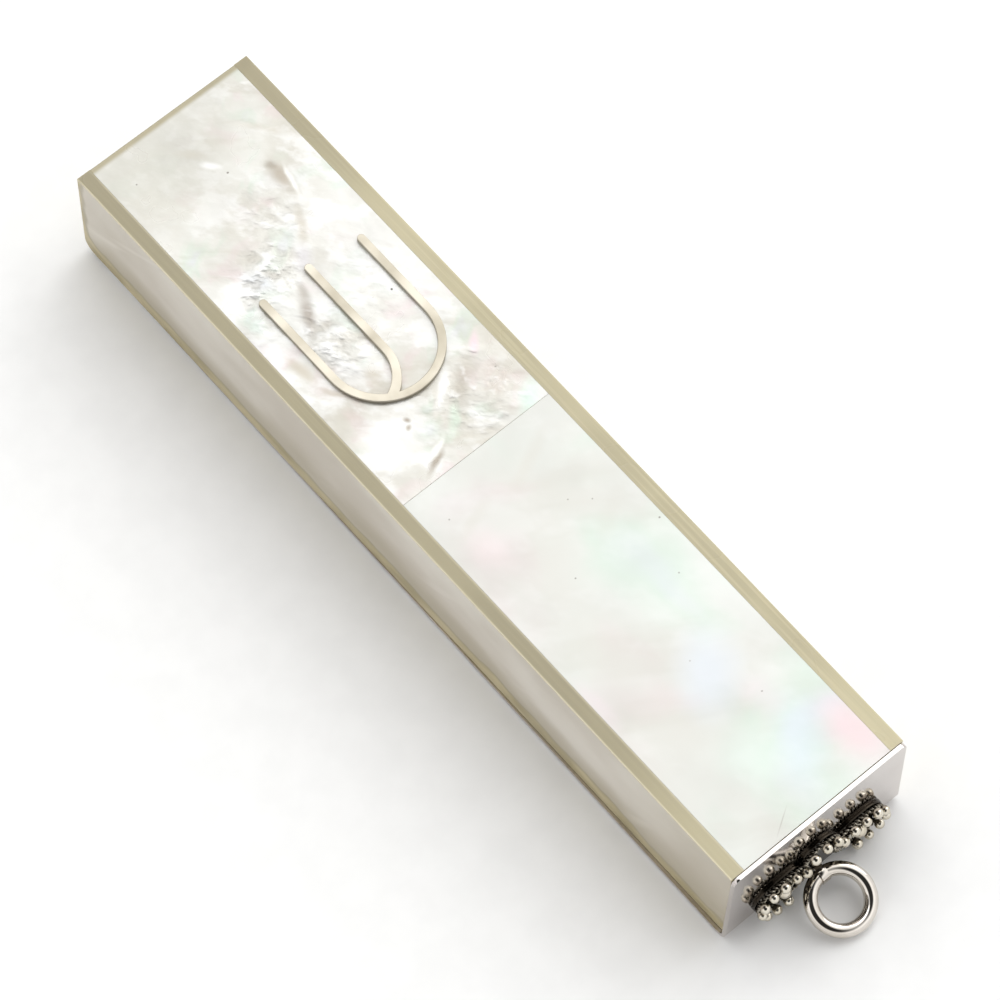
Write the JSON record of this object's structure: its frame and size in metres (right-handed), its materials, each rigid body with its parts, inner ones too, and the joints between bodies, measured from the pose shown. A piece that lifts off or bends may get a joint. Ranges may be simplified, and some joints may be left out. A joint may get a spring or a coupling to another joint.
{
  "type": "mezuzah case",
  "caption": "Rectangular mezuzah case: a mother-of-pearl shell with a silver letter shin slides over a silver back plate with a granulated end ornament and a hanging ring.",
  "frame": {"origin": "middle of the back plate's flat back face, where the case lies against the doorpost", "axes": "+Y up the doorpost along the case, away from the ring; +Z out of the front face with the letter; +X to the right as the letter is read"},
  "size_m": [0.023, 0.1083, 0.0152],
  "materials": {
    "sheet_silver": "polished silver sheet",
    "ornament_silver": "polished silver, darkened in the recesses",
    "ring_silver": "polished silver wire",
    "letter_silver": "satin silver sheet",
    "liner_silver": "plain silver sheet",
    "figured_pearl": "polished figured mother-of-pearl",
    "plain_pearl": "polished plain mother-of-pearl",
    "slab_pearl": "polished mother-of-pearl with khaki cut edges"
  },
  "bodies": {
    "back": {"back_and_end_plate": "sheet_silver", "left_runner": "liner_silver", "right_runner": "liner_silver", "ornament_base": "ornament_silver", "left_scroll_wire": "ornament_silver", "right_scroll_wire": "ornament_silver", "crest_wire": "ornament_silver", "left_granules": "ornament_silver", "right_granules": "ornament_silver", "crest_granules": "ornament_silver", "scroll_bosses": "ornament_silver", "ring_bail": "ring_silver"},
    "ring": {"hanging_ring": "ring_silver"},
    "shell": {"liner": "liner_silver", "left_guide": "liner_silver", "right_guide": "liner_silver", "upper_front_panel": "figured_pearl", "lower_front_panel": "plain_pearl", "left_side_slab": "slab_pearl", "right_side_slab": "slab_pearl", "top_end_slab": "slab_pearl", "shin_letter": "letter_silver"}
  },
  "joints": [
    {"name": "shell_slide", "type": "slide", "parent": "back", "child": "shell", "axis": [0, 1, 0], "range_m": [0, 0.1]},
    {"name": "ring_swing", "type": "hinge", "parent": "back", "child": "ring", "pos_m": [-0.00045, -0.0517, 0.00264], "axis": [-1, 0, 0], "range_deg": [0, 85]}
  ]
}
